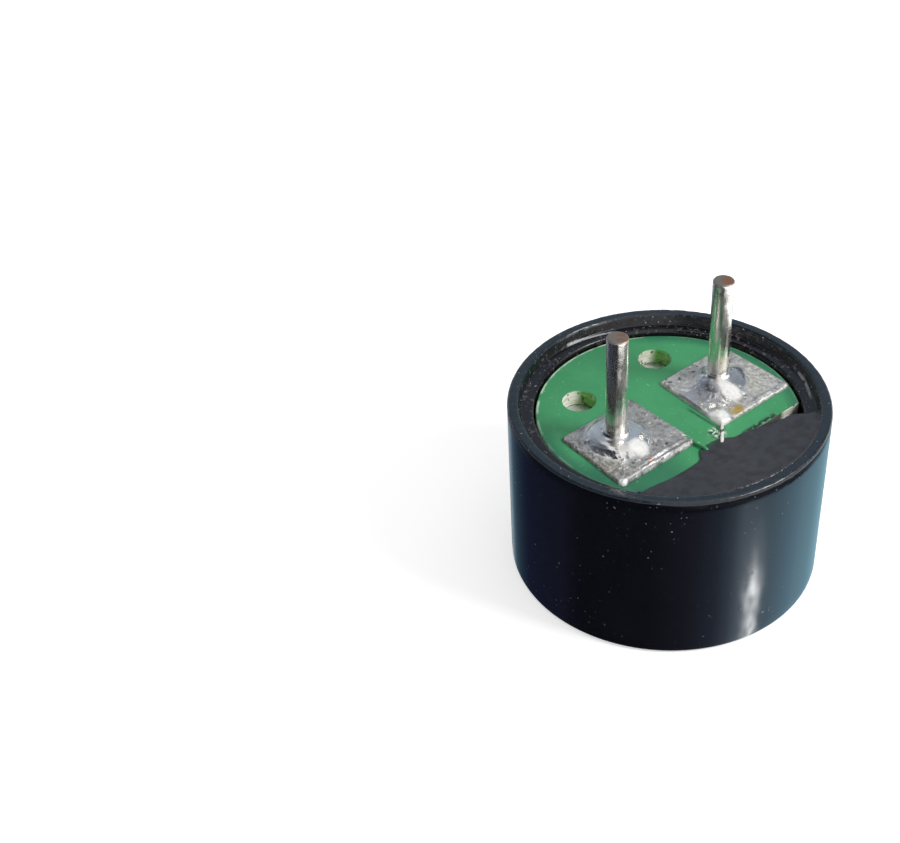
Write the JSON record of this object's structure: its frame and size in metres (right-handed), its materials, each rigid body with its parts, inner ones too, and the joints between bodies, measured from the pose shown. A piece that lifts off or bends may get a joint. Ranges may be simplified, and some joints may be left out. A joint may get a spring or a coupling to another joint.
{
  "type": "passive buzzer",
  "caption": "Round black magnetic buzzer: a moulded cup with a sound hole, closed by a green board with soldered pins, sealed with resin along one side.",
  "frame": {"origin": "centre of the outer sound face, on the axis of the case", "axes": "+Z out of the open end along the pins, +X along the line of the pins, sealing resin on the -Y side"},
  "size_m": [0.009, 0.009, 0.0085],
  "materials": {
    "case_plastic": "black moulded plastic, glossy side, sand-textured sound face",
    "resin": "black sealing resin, satin, faintly grey",
    "board": "green solder mask on glass-fibre board",
    "solder": "lumpy bright solder",
    "pin_metal": "tinned copper with a cut copper end",
    "iron": "plain iron, dull grey",
    "spring_steel": "thin rolled steel",
    "ferrite": "dark sintered magnet",
    "copper_wire": "enamelled copper wire"
  },
  "bodies": {
    "root": {"case": "case_plastic", "circuit_board": "board", "sealing_resin": "resin", "pin_left": "pin_metal", "pin_right": "pin_metal", "solder_left": "solder", "solder_right": "solder", "coil_lead_left": "copper_wire", "coil_lead_right": "copper_wire", "coil": "copper_wire", "core": "iron", "yoke_plate": "iron", "ring_magnet": "ferrite", "diaphragm": "spring_steel", "armature_disc": "iron"}
  },
  "joints": []
}
